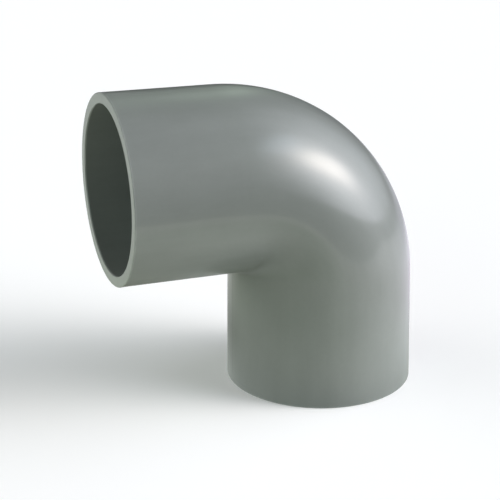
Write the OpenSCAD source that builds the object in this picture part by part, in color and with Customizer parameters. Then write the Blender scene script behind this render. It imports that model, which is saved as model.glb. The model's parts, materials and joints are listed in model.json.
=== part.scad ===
// Rigid PVC conduit elbow, 90 degrees, with a plain solvent-weld socket at each end.
// One injection moulding: two drafted socket legs, a long-radius heel and a tight throat.
//
// Frame: millimetres, +Z up. The origin is the centre of the lower socket's mouth.
// The lower leg stands along +Z, and the side leg opens towards -X.
// The plane Y = 0 is the elbow's plane of symmetry.

/* [Sockets] */
// Outside diameter of the conduit that each socket takes
conduit_d = 50; // [40:0.5:51]
// Difference between the socket's bore and the conduit's outside diameter
socket_clearance = 0.4; // [0.2:0.1:0.8]
// Depth from the mouth to the stop shoulder
socket_depth = 31; // [20:0.5:32]
// Length of the edge break at the mouth, along the axis
lead_in = 0.4; // [0.2:0.1:2]
// Depth of the edge break into the wall
lead_in_rise = 0.2; // [0.1:0.1:0.8]

/* [Legs] */
// Straight length of each leg, from the end of the heel's sweep to the mouth
leg_length = 33; // [33:0.5:60]
// Outside diameter at the mouth
mouth_d = 57; // [56.4:0.1:60]
// Radius on the outer edge of the mouth
mouth_round = 0.3; // [0.2:0.1:0.8]

/* [Bend] */
// Centreline radius of the heel's sweep
bend_radius = 34; // [33:0.5:40]
// Outside diameter through the bend
bend_d = 55.7; // [54.6:0.1:56.2]
// Radius of the throat, where the two legs meet on the inside of the bend
throat_radius = 2; // [1:0.25:4]
// Bore of the cable way through the bend
way_d = 47; // [30:0.5:48]

/* [Hidden] */
$fn = 128;

pvc_grey = [0.49, 0.515, 0.5];
overshoot = 1;    // how far cutting shapes run past the faces they cut
min_shoulder = 1; // least width of the stop shoulder inside the conduit's outside
socket_r = (conduit_d + socket_clearance) / 2;
mouth_r = mouth_d / 2;
bend_r = bend_d / 2;
way_r = min(way_d, conduit_d - 2 * min_shoulder) / 2;

centre_to_face = leg_length + bend_radius; // from the crossing of the two axes to either mouth
throat_turn = bend_r + throat_radius;      // centreline radius of the turn that forms the throat
run_on = bend_radius - throat_turn;        // from the heel's end on to the start of that turn
shoulder_y = leg_length - socket_depth;    // stop shoulder, in a leg section

// The heel's section is fuller than the legs' but set inwards, so that the surfaces cross.
heel_growth = 0.03;
heel_inset = 0.05;
heel_margin = 2; // room above and below the section, inside the heel's centreline
leg_margin = 5;  // room around each leg

// Leg sections: x is the radius, and y runs from the heel's end (0) to the mouth (leg_length).
module skin_section() {
    difference() {
        polygon([
            [0, -run_on],
            [bend_r, -run_on],
            [bend_r, 0],
            [mouth_r, leg_length],
            [0, leg_length]
        ]);
        translate([mouth_r - mouth_round, leg_length - mouth_round])
            difference() {
                square(mouth_round + overshoot);
                circle(r = mouth_round);
            }
    }
}

module way_section() {
    translate([0, -run_on])
        square([way_r, run_on + shoulder_y + overshoot]);
}

// From the stop shoulder out past the mouth, with the edge break
module socket_section() {
    lip_r = socket_r + lead_in_rise;
    polygon([
        [0, shoulder_y],
        [socket_r, shoulder_y],
        [socket_r, leg_length - lead_in],
        [lip_r, leg_length],
        [lip_r, leg_length + overshoot],
        [0, leg_length + overshoot]
    ]);
}

module lower_leg() {
    translate([0, 0, leg_length]) rotate([180, 0, 0])
        rotate_extrude() children();
}

module side_leg() {
    translate([-bend_radius, 0, centre_to_face]) rotate([0, -90, 0])
        rotate_extrude() children();
}

// Sweeps a section from the lower leg round to the side leg, at a given centreline radius.
module quarter_turn(turn_radius) {
    translate([-turn_radius, 0, centre_to_face - turn_radius]) rotate([90, 0, 0])
        rotate_extrude(angle = 90) children();
}

// Everything inside the heel's long sweep, with a box around each leg.
module heel_limit(section_r) {
    side_y = mouth_r + leg_margin;
    reach = centre_to_face + side_y;

    quarter_turn(bend_radius) union() {
        translate([bend_radius - heel_inset, 0])
            circle(r = section_r + heel_growth);
        translate([0, -section_r - heel_margin])
            square([bend_radius, 2 * (section_r + heel_margin)]);
    }
    translate([-centre_to_face, -side_y, -overshoot])
        cube([reach, 2 * side_y, leg_length + overshoot]);
    translate([-centre_to_face - overshoot, -side_y, -overshoot])
        cube([leg_length + overshoot, 2 * side_y, reach]);
}

// Two legs of the child section, joined through the bend by a round of radius section_r.
module swept(section_r) {
    intersection() {
        union() {
            lower_leg() children();
            side_leg() children();
            quarter_turn(throat_turn)
                translate([throat_turn, 0]) circle(r = section_r);
        }
        heel_limit(section_r);
    }
}

module elbow_body() {
    color(pvc_grey) difference() {
        swept(bend_r) skin_section();
        swept(way_r) way_section();
        lower_leg() socket_section();
        side_leg() socket_section();
    }
}

elbow_body();
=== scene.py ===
"""Grey PVC elbow for cable, with a socket in each of its two mouths.

The lower leg stands on the origin along +Z, with its mouth at z = 0. The bend turns it towards -X, and
the side leg lies along X at height CENTRE. The heel faces +X and up. The parting plane is Y = 0.
"""
import json
import math
from functools import reduce
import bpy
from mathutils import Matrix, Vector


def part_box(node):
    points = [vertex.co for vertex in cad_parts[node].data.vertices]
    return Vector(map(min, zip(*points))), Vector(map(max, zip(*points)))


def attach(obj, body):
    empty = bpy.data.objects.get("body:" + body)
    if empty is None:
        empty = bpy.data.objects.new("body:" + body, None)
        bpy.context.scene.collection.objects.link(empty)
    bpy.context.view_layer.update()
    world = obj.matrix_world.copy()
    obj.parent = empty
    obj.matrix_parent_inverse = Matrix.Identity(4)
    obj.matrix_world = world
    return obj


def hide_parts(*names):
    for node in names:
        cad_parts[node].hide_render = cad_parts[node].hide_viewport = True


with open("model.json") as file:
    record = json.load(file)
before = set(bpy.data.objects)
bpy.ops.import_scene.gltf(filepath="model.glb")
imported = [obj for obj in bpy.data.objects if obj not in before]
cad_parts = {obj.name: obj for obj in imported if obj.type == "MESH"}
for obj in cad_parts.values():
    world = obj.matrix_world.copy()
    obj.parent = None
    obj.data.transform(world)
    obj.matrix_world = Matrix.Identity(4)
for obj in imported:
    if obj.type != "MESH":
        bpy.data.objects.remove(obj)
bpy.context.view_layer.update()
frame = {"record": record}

from types import SimpleNamespace

import bmesh
import bpy
from mathutils import Quaternion, Vector

MM = 0.001
TAU = 2 * math.pi

# ---------------------------------------------------------------- sizes
low_corner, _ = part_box("elbow_body")
mounts = {mount["name"]: mount for mount in frame["record"]["mounts"]}
CENTRE = -low_corner.x          # from the crossing of the two axes to either mouth
SOCKET_R = mounts["side_socket"]["dims"]["r_mm"] * MM
SOCKET_DEPTH = CENTRE + mounts["side_stop"]["pos_m"][0]
MOUTH_R = 28.5 * MM             # outside radius at the mouths
SKIN_R = 27.85 * MM             # outside radius through the bend
WAY_R = 23.5 * MM               # radius of the cable way
HEEL = 34.0 * MM                # centre line radius of the heel's sweep
THROAT = 1.5 * MM               # radius of the throat's crease
LEG = CENTRE - HEEL             # straight part of a leg, on the centre line
LENGTH = 2 * LEG + HEEL * math.pi / 2   # along the centre line, mouth to mouth
DRAFT_EASE = 5 * MM             # half the length over which the leg's draft fades out
MOUTH_END = 3 * MM              # depth at which the mouth's profile takes over from the outside
WAY_START = SOCKET_DEPTH + 1 * MM
LEAD, LEAD_RISE = 0.4 * MM, 0.2 * MM          # depth and height of the socket's edge break
LINE, LINE_HALF = 0.035 * MM, 0.2 * MM        # height and half width of the parting line
SWEEP_R = 27.0                  # radius of the tube in the "sweep" attribute, mm

# The two swept surfaces. tightness: how fast the turn shrinks towards the throat.
# start: distance from the mouth. fullness: extra radius on the throat side.
SKIN = SimpleNamespace(radius=SKIN_R, throat=THROAT, tightness=1.5, start=MOUTH_END,
                       fullness=0.65 * MM, drafted=True)
WAY = SimpleNamespace(radius=WAY_R, throat=THROAT + SKIN_R - WAY_R, tightness=1.0, start=WAY_START,
                      fullness=0.0, drafted=False)

LEG_RINGS, BEND_RINGS, WAY_RINGS = 34, 96, 56
ROUND = 240                     # even divisions round the section
LINE_OFFSETS = (-2.5, -1.6, -1, -0.5, 0, 0.5, 1, 1.6, 2.5)   # in half widths of the parting line
ANGLES = sorted(
    [TAU * i / ROUND for i in range(ROUND) if i % (ROUND // 2)]
    + [(middle + k * LINE_HALF / SKIN_R) % TAU for middle in (0.0, math.pi) for k in LINE_OFFSETS])

OUTSIDE, END_FACE, INSIDE = 0.0, 1.0, 2.0     # values of the "zone" attribute


# ---------------------------------------------------------------- swept tube
def leg_radius(z):
    """Outside radius of a leg at distance z from its mouth, with the draft eased out at the bend."""
    before_bend = LEG - z
    slope = (MOUTH_R - SKIN_R) / LEG
    if before_bend <= -DRAFT_EASE:
        return SKIN_R
    if before_bend >= DRAFT_EASE:
        return SKIN_R + slope * before_bend
    return SKIN_R + slope * (before_bend + DRAFT_EASE) ** 2 / (4 * DRAFT_EASE)


def on_side_leg(x, y, z):
    """Mirror a point of the lower leg onto the side leg."""
    return Vector((z - CENTRE, y, CENTRE + x))


def sweep_point(stage, angle, tube, extra=0.0):
    """Point on a tube swept through the elbow, raised by extra.

    stage runs 0..1 up the lower leg, 1..2 round the bend and 2..3 along the side leg.
    angle goes round the section, 0 on the heel and pi in the throat.
    """
    if stage > 1.5:
        return on_side_leg(*sweep_point(3 - stage, angle, tube, extra))
    cos, sin = math.cos(angle), math.sin(angle)
    if cos >= 0:
        turn = HEEL + tube.radius * cos
    else:
        turn = tube.throat + (HEEL - tube.throat) * (1 + cos) ** tube.tightness
    radius = tube.radius + tube.fullness * max(0.0, -cos)
    top = CENTRE + radius * cos - turn        # where this line leaves the straight leg
    if stage <= 1:
        z = tube.start + (top - tube.start) * stage
        if tube.drafted:
            radius = max(radius, leg_radius(z))
        radius += extra
        return Vector((radius * cos, radius * sin, z))
    turned = (stage - 1) * math.pi / 2
    reach = turn + extra * cos
    return Vector((radius * cos - turn + reach * math.cos(turned), (radius + extra) * sin,
                   top + reach * math.sin(turned)))


def distance(stage, start):
    """Distance from the lower mouth along the centre line."""
    if stage > 1.5:
        return LENGTH - distance(3 - stage, start)
    if stage <= 1:
        return start + (LEG - start) * stage
    return LEG + HEEL * (stage - 1) * math.pi / 2


def line_height(angle, radius):
    """Height of the parting line, which runs along the heel and the throat."""
    off = min(angle, abs(angle - math.pi), TAU - angle) * radius
    return LINE * max(0.0, 1 - (off / LINE_HALF) ** 2)


# ---------------------------------------------------------------- mouth profile
def fillet(before, corner, after, radius, segments):
    """Points round a corner between two straight runs of a profile."""
    corner = Vector(corner)
    back = (Vector(before) - corner).normalized()
    ahead = (Vector(after) - corner).normalized()
    half = math.acos(max(-1, min(1, back.dot(ahead)))) / 2
    first = corner + back * (radius / math.tan(half))
    last = corner + ahead * (radius / math.tan(half))
    centre = corner + (back + ahead).normalized() * (radius / math.sin(half))
    start = math.atan2(first.y - centre.y, first.x - centre.x)
    end = math.atan2(last.y - centre.y, last.x - centre.x)
    end += TAU * round((start - end) / TAU)       # go the short way round
    angles = [start + (end - start) * i / segments for i in range(segments + 1)]
    return [(centre.x + radius * math.cos(a), centre.y + radius * math.sin(a)) for a in angles]


def run(a, b, step):
    """Points between a and b, without the ends."""
    count = max(1, int(round((Vector(b) - Vector(a)).length / step)))
    return [(a[0] + (b[0] - a[0]) * i / count, a[1] + (b[1] - a[1]) * i / count)
            for i in range(1, count)]


def mouth_profile():
    """(radius, depth from the mouth), from the outside over the end face to the cable way."""
    corners = [     # radius, depth, fillet radius, fillet segments, step of the run before it
        (MOUTH_R, 0.0, 0.3 * MM, 8, 0.8 * MM),                        # outer edge
        (SOCKET_R + LEAD_RISE, 0.0, 0.08 * MM, 3, 0.4 * MM),          # end face to edge break
        (SOCKET_R, LEAD, 0.2 * MM, 3, 0.2 * MM),                      # edge break to socket
        (SOCKET_R, SOCKET_DEPTH, 0.25 * MM, 4, 1 * MM),               # foot of the stop shoulder
        (WAY_R, SOCKET_DEPTH, 0.3 * MM, 5, 0.4 * MM),                 # shoulder to cable way
    ]
    first, last = (leg_radius(MOUTH_END), MOUTH_END), (WAY_R, WAY_START)
    places = [first] + [corner[:2] for corner in corners] + [last]
    points = [first]
    for before, (*place, radius, segments, step), after in zip(places, corners, places[2:]):
        arc = fillet(before, place, after, radius, segments)
        points += run(points[-1], arc[0], step) + arc
    return points + run(points[-1], last, 0.4 * MM) + [last]


# ---------------------------------------------------------------- elbow
def mouth_zone(radius, depth):
    if depth < 0.02 * MM:
        return END_FACE
    return INSIDE if radius < SOCKET_R + LEAD_RISE else OUTSIDE


def elbow_rings():
    """Yield (points, zone, distance along) ring by ring, along the outside and back inside."""
    profile = mouth_profile()
    stages = [i / LEG_RINGS for i in range(LEG_RINGS)]
    stages += [1 + i / BEND_RINGS for i in range(BEND_RINGS)]
    stages += [2 + i / LEG_RINGS for i in range(LEG_RINGS)]
    for stage in stages:
        points = [sweep_point(stage, a, SKIN, line_height(a, SKIN_R)) for a in ANGLES]
        yield points, OUTSIDE, distance(stage, SKIN.start)
    for i, (radius, depth) in enumerate(profile):          # side mouth and socket
        points = []
        for a in ANGLES:
            # the parting line ends on the profile's first ring
            raised = radius + (line_height(a, radius) if i == 0 else 0.0)
            points.append(on_side_leg(raised * math.cos(a), raised * math.sin(a), depth))
        yield points, mouth_zone(radius, depth), LENGTH - depth
    for i in range(1, WAY_RINGS):
        stage = 3 - 3 * i / WAY_RINGS
        yield [sweep_point(stage, a, WAY) for a in ANGLES], INSIDE, distance(stage, WAY.start)
    for radius, depth in reversed(profile[1:]):            # lower socket and mouth
        points = [Vector((radius * math.cos(a), radius * math.sin(a), depth)) for a in ANGLES]
        yield points, mouth_zone(radius, depth), depth


def build_elbow():
    verts, zones, sweep = [], [], []
    for points, zone, along in elbow_rings():
        verts += [point[:] for point in points]
        zones += [zone] * len(ANGLES)
        for a in ANGLES:
            sweep += [SWEEP_R * math.cos(a), SWEEP_R * math.sin(a), along / MM]
    sides = len(ANGLES)
    rings = len(verts) // sides
    faces = []
    for i in range(rings):
        here, there = i * sides, (i + 1) % rings * sides   # the last ring joins the first
        for j in range(sides):
            k = (j + 1) % sides
            faces.append((here + j, there + j, there + k, here + k))
    mesh = bpy.data.meshes.new("elbow_body_skin")
    mesh.from_pydata(verts, [], faces)
    mesh.attributes.new("zone", "FLOAT", "POINT").data.foreach_set("value", zones)
    mesh.attributes.new("sweep", "FLOAT_VECTOR", "POINT").data.foreach_set("vector", sweep)
    bm = bmesh.new()
    bm.from_mesh(mesh)
    bmesh.ops.recalc_face_normals(bm, faces=bm.faces[:])
    for face in bm.faces:
        face.smooth = True
    bm.to_mesh(mesh)
    bm.free()
    elbow = bpy.data.objects.new("elbow_body_skin", mesh)
    bpy.context.scene.collection.objects.link(elbow)
    elbow.modifiers.new("weighted", "WEIGHTED_NORMAL").keep_sharp = True
    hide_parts("elbow_body")
    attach(elbow, "root")
    mesh.materials.append(pvc())


# ---------------------------------------------------------------- node helpers
NOISE_SPAN = (0.3, 0.7)         # where most values of a noise lie


class Nodes:
    """Adds nodes to a tree and links them in one call."""

    def __init__(self, tree):
        self.tree = tree

    def add(self, kind, *inputs, named=None, **props):
        """New node. An input is a socket to link, a value, or None to leave it alone."""
        node = self.tree.nodes.new(kind)
        for key, value in props.items():
            setattr(node, key, value)
        for key, value in [*enumerate(inputs), *(named or {}).items()]:
            if isinstance(value, bpy.types.NodeSocket):
                self.tree.links.new(value, node.inputs[key])
            elif value is not None:
                node.inputs[key].default_value = value
        return node

    def math(self, operation, a, b=None, c=None):
        return self.add("ShaderNodeMath", a, b, c, operation=operation).outputs[0]

    def sum(self, *terms):
        return reduce(lambda a, b: self.math("ADD", a, b), terms)

    def product(self, *factors):
        return reduce(lambda a, b: self.math("MULTIPLY", a, b), factors)

    def scaled(self, value, by):
        return self.math("MULTIPLY", value, by)

    def vector(self, operation, a, b):
        return self.add("ShaderNodeVectorMath", a, b, operation=operation).outputs[0]

    def vector_sum(self, terms):
        return reduce(lambda a, b: self.vector("ADD", a, b), terms)

    def vector_scaled(self, vector, by):
        return self.add("ShaderNodeVectorMath", vector, operation="SCALE",
                        named={"Scale": by}).outputs[0]

    def dot(self, a, b):
        node = self.add("ShaderNodeVectorMath", a, b, operation="DOT_PRODUCT")
        return node.outputs["Value"]

    def noise(self, vector, scale, detail=2.0, roughness=0.5):
        return self.add("ShaderNodeTexNoise", named={
            "Vector": vector, "Scale": scale, "Detail": detail, "Roughness": roughness}).outputs[0]

    def remap(self, value, span, to=(0.0, 1.0), smooth=False):
        """value mapped from span to another range, clamped"""
        node = self.add("ShaderNodeMapRange", value, *span, *to)
        if smooth:
            node.interpolation_type = "SMOOTHSTEP"
        return node.outputs[0]

    def spread(self, noise, by):
        """noise mapped to -by..by"""
        return self.remap(noise, span=NOISE_SPAN, to=(-by, by))

    def for_camera(self, seen, otherwise):
        """One shader for camera rays and another for all other rays."""
        camera_ray = self.add("ShaderNodeLightPath").outputs["Is Camera Ray"]
        return self.add("ShaderNodeMixShader", camera_ray, otherwise, seen).outputs[0]


# ---------------------------------------------------------------- grey PVC
PVC_BASE = (0.193, 0.210, 0.199)
PVC_GLOSS = {
    "IOR": 1.53, "Specular IOR Level": 0.28,
    "Coat Weight": 0.48, "Coat Roughness": 0.095, "Coat IOR": 1.53,
}


def pvc():
    """Satin grey PVC with paler end faces, mouth edges paler from wear and a painted highlight, and a
    duller bore darkened with painted shade.
    """
    material = bpy.data.materials.new("grey_pvc_moulded")
    material.use_nodes = True
    n = Nodes(material.node_tree)
    where = n.add("ShaderNodeTexCoord").outputs["Object"]
    tube = n.add("ShaderNodeAttribute", attribute_name="sweep").outputs["Vector"]
    zone = n.add("ShaderNodeAttribute", attribute_name="zone").outputs["Fac"]

    def stretched(across, along):
        return n.vector("MULTIPLY", tube, (across, across, along))

    # masks
    off_face = n.math("ABSOLUTE", n.math("SUBTRACT", zone, END_FACE))
    face = n.remap(off_face, span=(0.1, 0.9), to=(1.0, 0.0))
    inside = n.remap(zone, span=(1.1, 1.9))
    # inside: the bore. The tone below darkens it as painted shade; its extra roughness makes it
    # duller.
    outside = n.remap(zone, span=(0.1, 0.6), to=(1.0, 0.0))
    along = n.add("ShaderNodeSeparateXYZ", tube).outputs[2]
    to_mouth = n.math("MINIMUM", along, n.math("SUBTRACT", LENGTH / MM, along))
    rub_and_edge_highlight = n.product(                                       # paler edge round each mouth: wear plus a painted highlight on the edge's rounding
        n.remap(to_mouth, span=(0.2, 0.7), to=(1.0, 0.0)),
        n.remap(n.noise(where, scale=300.0, detail=3.0), span=(0.35, 0.65), to=(0.5, 1.0)),
        outside)

    # patterns
    mottling = n.noise(where, scale=45.0, detail=3.0)
    flow = n.noise(stretched(across=0.16, along=0.03), scale=1.0, detail=3.0, roughness=0.6)
    draw = n.noise(stretched(across=1.6, along=0.04), scale=1.0, detail=1.0)   # fine draw marks
    grain = n.noise(where, scale=900.0)
    streaks = n.noise(stretched(across=0.5, along=0.12), scale=1.0, detail=1.0)
    haze = n.remap(streaks, span=(0.52, 0.74))
    satin = n.noise(where, scale=80.0, detail=3.0)

    # rub adds wear and a painted highlight at the mouth edges; inside darkens the bore as painted
    # shade.
    tone = n.sum(
        n.spread(mottling, by=0.045), n.spread(flow, by=0.035), n.spread(grain, by=0.01),
        n.scaled(rub_and_edge_highlight, by=0.40), n.scaled(face, by=0.24), n.scaled(inside, by=-0.08), 1.0)
    roughness = n.sum(
        n.remap(satin, span=NOISE_SPAN, to=(0.290, 0.325)), n.spread(draw, by=0.006),
        n.scaled(haze, by=0.03), n.scaled(face, by=0.10), n.scaled(inside, by=0.05))
    orange_peel = n.sum(
        n.noise(where, scale=160.0), n.scaled(n.noise(where, scale=700.0), by=0.12),
        n.scaled(draw, by=0.04))
    bump = n.add("ShaderNodeBump", named={
        "Strength": 0.18, "Distance": 0.0001, "Height": orange_peel})

    bsdf = n.tree.nodes["Principled BSDF"]
    n.tree.links.new(n.vector_scaled(PVC_BASE, by=tone), bsdf.inputs["Base Color"])
    n.tree.links.new(roughness, bsdf.inputs["Roughness"])
    n.tree.links.new(bump.outputs[0], bsdf.inputs["Normal"])
    for name, value in PVC_GLOSS.items():
        bsdf.inputs[name].default_value = value
    return material


# ---------------------------------------------------------------- floor
FLOOR_HALF = 4.0
FLOOR_Z = -0.05 * MM
FLOOR_WHITE = (0.9, 0.9, 0.9, 1)
FLOOR_LIFT = 0.12               # extra white, seen only by the camera
WHITE = (1, 1, 1, 1)

# Brightness of the floor as reflections see it: for each azimuth (degrees), a colour at each
# distance from the lower leg (mm). Between the azimuths it blends.
GLOW_REACH = 250.0
GLOW_DISTANCES = (0, 30, 70, 120, 200)
# These colours are painted floor light: dim next to the leg and towards -120 degrees where the leg's
# shadow falls, bright in a band 200 mm in front.
GLOW = {
    0: ((0.47, 0.51, 0.48), (1.07, 1.13, 1.01), (0.60, 0.70, 0.51),
        (1.18, 1.16, 1.01), (3.20, 3.20, 3.20)),
    120: ((0.47, 0.51, 0.48), (0.77, 0.80, 0.85), (1.11, 1.01, 1.18),
          (1.32, 1.29, 1.48), (0.54, 0.52, 0.64)),
    -120: ((0.47, 0.51, 0.48), (0.16, 0.17, 0.13), (0.55, 0.63, 0.48),
           (0.37, 0.43, 0.32), (0.66, 0.72, 0.62)),
}
# That glow fades out over these spans of y (front, back) and of |x| (sides), in metres.
FRONT_FADE, BACK_FADE, SIDE_FADE = (-0.153, -0.143), (0.40, 0.42), (0.39, 0.41)


def floor_glow(n, x, y):
    """Colour of the floor in reflections."""
    radius = n.math("SQRT", n.sum(n.product(x, x), n.product(y, y)))
    away = n.math("SUBTRACT", radius, MOUTH_R)
    reach = n.remap(away, span=(0.0, GLOW_REACH * MM))
    azimuth = n.math("ARCTAN2", x, n.scaled(y, by=-1.0))
    parts = []
    for towards, colours in GLOW.items():
        ramp = n.add("ShaderNodeValToRGB", reach)
        stops = ramp.color_ramp.elements
        while len(stops) < len(colours):
            stops.new(0.5)
        for stop, away_mm, colour in zip(stops, GLOW_DISTANCES, colours):
            stop.position = away_mm / GLOW_REACH
            stop.color = (*colour, 1)
        turned = n.math("SUBTRACT", azimuth, math.radians(towards))
        off = n.math("ABSOLUTE", n.math("WRAP", turned, math.pi, -math.pi))
        share = n.math("SUBTRACT", 1.0, n.math("DIVIDE", off, TAU / len(GLOW)))
        parts.append(n.vector_scaled(ramp.outputs[0], by=n.math("MAXIMUM", share, 0.0)))
    return n.vector_sum(parts)


def pale_floor():
    """Matt white to the camera. All other rays see a glowing table top instead."""
    material = bpy.data.materials.new("pale_floor")
    material.use_nodes = True
    n = Nodes(material.node_tree)
    n.tree.nodes.clear()
    position = n.add("ShaderNodeNewGeometry").outputs["Position"]
    x, y, _ = n.add("ShaderNodeSeparateXYZ", position).outputs
    extent = n.product(
        n.remap(y, span=FRONT_FADE, smooth=True),
        n.remap(y, span=BACK_FADE, to=(1.0, 0.0), smooth=True),
        n.remap(n.math("ABSOLUTE", x), span=SIDE_FADE, to=(1.0, 0.0), smooth=True))
    table = n.add("ShaderNodeEmission", floor_glow(n, x, y), extent).outputs[0]
    white = n.add("ShaderNodeBsdfDiffuse", FLOOR_WHITE).outputs[0]
    lift = n.add("ShaderNodeEmission", WHITE, FLOOR_LIFT).outputs[0]
    plain = n.add("ShaderNodeAddShader", white, lift).outputs[0]
    n.add("ShaderNodeOutputMaterial", n.for_camera(seen=plain, otherwise=table))
    return material


def build_floor():
    half = FLOOR_HALF
    corners = [(-half, -half, 0), (half, -half, 0), (half, half, 0), (-half, half, 0)]
    mesh = bpy.data.meshes.new("floor")
    mesh.from_pydata(corners, [], [(0, 1, 2, 3)])
    floor = bpy.data.objects.new("floor", mesh)
    floor.location = (0, 0, FLOOR_Z)
    bpy.context.scene.collection.objects.link(floor)
    mesh.materials.append(pale_floor())


# ---------------------------------------------------------------- studio light
# Soft-edged boxes in a dark room: azimuth, elevation, half width, half height, roll (degrees),
# edge (2 = soft, higher = flatter with a firmer edge) and radiance (r, g, b).
SOFTBOXES = {
    "key": (61.1, 25.3, 21.5, 18.3, 33, 3.05, (4.72, 4.66, 4.77)),
    "skirt": (60.9, 4.6, 27.1, 34.1, -1, 4.02, (3.47, 3.56, 3.91)),
    "key_top": (56.0, 43.9, 15.0, 7.0, 14, 3.96, (1.56, 1.94, 2.33)),
    "right": (94.0, 28.8, 23.1, 34.2, 16, 2.89, (1.81, 1.87, 2.05)),
    "back": (154.0, 32.2, 4.9, 15.1, 6, 1.46, (0.94, 1.22, 0.94)),
    "front_left": (-45.7, 25.9, 17.5, 15.7, -8, 4.13, (0.82, 1.12, 0.97)),
    "core": (65.1, 25.2, 9.9, 13.3, 68, 3.02, (9.4, 8.4, 7.4)),
    "left_low": (-104.1, 10.8, 37.8, 16.0, 0, 2.01, (4.10, 4.14, 4.06)),
    "left_high": (-95.0, 50.0, 24.0, 16.0, 0, 2.00, (0.9, 0.95, 0.9)),
}


def direction(azimuth, elevation):
    """Unit vector at an azimuth (0 = from -Y, 90 = from +X) and elevation, in degrees."""
    a, e = math.radians(azimuth), math.radians(elevation)
    return Vector((math.sin(a) * math.cos(e), -math.cos(a) * math.cos(e), math.sin(e)))


def softbox(n, look, azimuth, elevation, wide, tall, roll, edge, radiance):
    """Light of one softbox in the direction look."""
    axis = direction(azimuth, elevation)
    flat = direction(azimuth + 90, 0)
    flat = Vector((math.cos(math.radians(azimuth)), math.sin(math.radians(azimuth)), 0))
    up = axis.cross(flat)
    up = -up if up.z < 0 else up
    cos, sin = math.cos(math.radians(roll)), math.sin(math.radians(roll))
    a = n.math("DIVIDE", n.dot(look, cos * flat + sin * up), math.sin(math.radians(wide)))
    b = n.math("DIVIDE", n.dot(look, cos * up - sin * flat), math.sin(math.radians(tall)))
    away = n.math("POWER", n.sum(n.product(a, a), n.product(b, b)), edge / 2)
    fall = n.math("EXPONENT", n.scaled(away, by=-1.0))
    front = n.math("GREATER_THAN", n.dot(look, axis), 0.0)
    return n.vector_scaled(radiance, by=n.product(fall, front))


def build_studio():
    """World of softboxes, which the camera itself sees as plain white."""
    world = bpy.data.worlds.new("studio")
    bpy.context.scene.world = world
    world.use_nodes = True
    n = Nodes(world.node_tree)
    n.tree.nodes.clear()
    look = n.add("ShaderNodeTexCoord").outputs["Generated"]
    light = n.vector_sum([softbox(n, look, *box) for box in SOFTBOXES.values()])
    boxes = n.add("ShaderNodeBackground", light, 1.0).outputs[0]
    plain = n.add("ShaderNodeBackground", WHITE, 1.0).outputs[0]
    n.add("ShaderNodeOutputWorld", n.for_camera(seen=plain, otherwise=boxes))


# ---------------------------------------------------------------- camera
CAMERA_AZIMUTH, CAMERA_ELEVATION, CAMERA_ROLL = -19.85, 20.88, 0.26     # degrees
CAMERA_AWAY = 555.9             # mm from the target
CAMERA_TARGET = Vector((-22.69 * MM, 0, CENTRE - 24.21 * MM))


def build_camera():
    back = direction(CAMERA_AZIMUTH, CAMERA_ELEVATION)
    lens = bpy.data.cameras.new("camera")
    lens.lens, lens.sensor_width = 132.25, 36
    lens.shift_x, lens.shift_y = -0.001, 0.001
    lens.clip_start, lens.clip_end = 0.01, 20
    camera = bpy.data.objects.new("camera", lens)
    camera.location = CAMERA_TARGET + back * CAMERA_AWAY * MM
    camera.rotation_mode = "QUATERNION"
    roll = Quaternion(back, math.radians(CAMERA_ROLL))
    camera.rotation_quaternion = roll @ (-back).to_track_quat("-Z", "Y")
    bpy.context.scene.collection.objects.link(camera)
    bpy.context.scene.camera = camera


build_elbow()
build_floor()
build_studio()
build_camera()
bpy.context.scene.view_settings.view_transform = "Standard"
